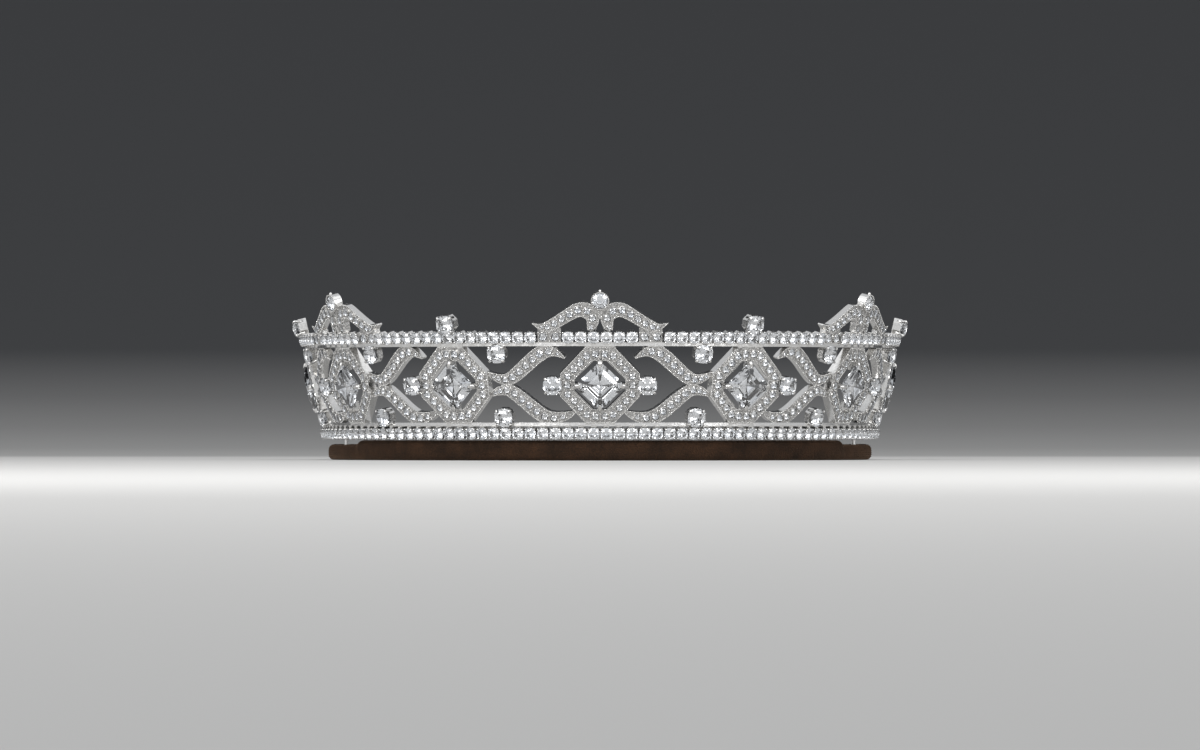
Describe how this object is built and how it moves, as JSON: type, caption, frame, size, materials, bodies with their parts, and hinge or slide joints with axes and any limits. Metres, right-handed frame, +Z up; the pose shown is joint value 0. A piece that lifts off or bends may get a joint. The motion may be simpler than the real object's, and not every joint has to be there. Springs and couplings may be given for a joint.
{
  "type": "diadem",
  "caption": "Low diadem of pierced white metal with stone-set octagons, scrolls and small crests, open at the back on a velvet-covered band that circles the head.",
  "frame": {"origin": "middle of the outline seen from above, at the level of the band's flat lower edge", "axes": "+Z up, -Y out of the front of the diadem, +X to the right as one looks at its front"},
  "size_m": [0.1794, 0.1358, 0.0478],
  "materials": {
    "platinum": "polished, with grained edges between the set stones",
    "diamond": "cut and polished, colourless",
    "velvet": "short dark brown pile"
  },
  "bodies": {
    "root": {"openwork": "platinum", "velvet_band": "velvet", "upper_row_stones": "diamond", "lower_row_stones": "diamond", "step_cut_stone_left_third": "diamond", "step_cut_stone_left_second": "diamond", "step_cut_stone_left_first": "diamond", "step_cut_stone_centre": "diamond", "step_cut_stone_right_first": "diamond", "step_cut_stone_right_second": "diamond", "step_cut_stone_right_third": "diamond", "beside_stone_left_first": "diamond", "beside_stone_left_second": "diamond", "beside_stone_left_third": "diamond", "beside_stone_right_first": "diamond", "beside_stone_right_second": "diamond", "beside_stone_right_third": "diamond", "hanging_stone_left_first": "diamond", "hanging_stone_left_second": "diamond", "hanging_stone_left_third": "diamond", "hanging_stone_right_first": "diamond", "hanging_stone_right_second": "diamond", "hanging_stone_right_third": "diamond", "standing_stone_left_first": "diamond", "standing_stone_left_second": "diamond", "standing_stone_left_third": "diamond", "standing_stone_right_first": "diamond", "standing_stone_right_second": "diamond", "standing_stone_right_third": "diamond", "rail_top_stone_left_first": "diamond", "rail_top_stone_left_third": "diamond", "rail_top_stone_right_first": "diamond", "rail_top_stone_right_third": "diamond", "crest_stone_left": "diamond", "crest_stone_centre": "diamond", "crest_stone_right": "diamond"}
  },
  "joints": []
}
